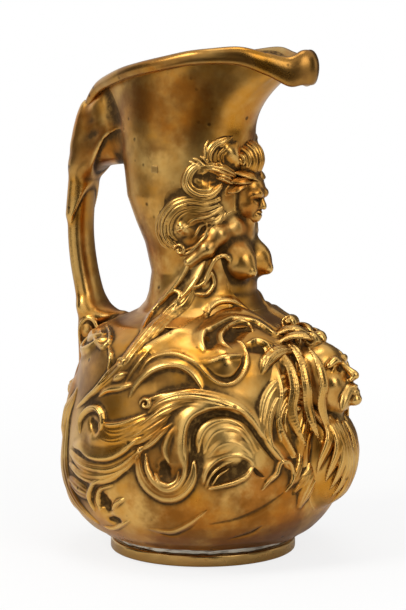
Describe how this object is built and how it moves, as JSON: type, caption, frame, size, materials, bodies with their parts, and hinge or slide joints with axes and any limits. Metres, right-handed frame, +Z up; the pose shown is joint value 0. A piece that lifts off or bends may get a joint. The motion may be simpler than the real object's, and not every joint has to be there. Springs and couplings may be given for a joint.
{
  "type": "figural bronze ewer",
  "caption": "Gilt cast-bronze ewer with a pouring lip, strap handle, nymph figure on the neck, bearded mask and wave relief on a round belly, on a plain foot ring.",
  "frame": {"origin": "centre of the foot's resting face", "axes": "+Z up, +X towards the pouring lip, the handle is on -X, and the ewer is symmetrical about the plane y = 0"},
  "size_m": [0.1462, 0.1308, 0.228],
  "materials": {
    "gilt_bronze": "polished gilding with dark patina in the hollows",
    "worn_gilt": "rubbed gilding",
    "dark_bronze": "dark unpolished bronze",
    "solder": "soft grey solder"
  },
  "bodies": {
    "root": {"foot_ring": "gilt_bronze", "base_plate": "dark_bronze", "base_screw_1": "dark_bronze", "base_screw_2": "dark_bronze", "base_screw_3": "dark_bronze", "foot_solder_ring": "solder", "belly_casting": "gilt_bronze", "neck_casting": "gilt_bronze", "seam_pin_1": "dark_bronze", "seam_pin_2": "dark_bronze", "seam_pin_3": "dark_bronze", "rim_band": "worn_gilt", "handle_casting": "gilt_bronze", "nymph_figure": "gilt_bronze", "front_mask": "gilt_bronze", "handle_pin_upper": "dark_bronze", "handle_pin_lower": "dark_bronze", "figure_pin_upper": "dark_bronze", "figure_pin_lower": "dark_bronze", "mask_pin_upper": "dark_bronze", "mask_pin_lower": "dark_bronze", "neck_plug": "worn_gilt"}
  },
  "joints": []
}
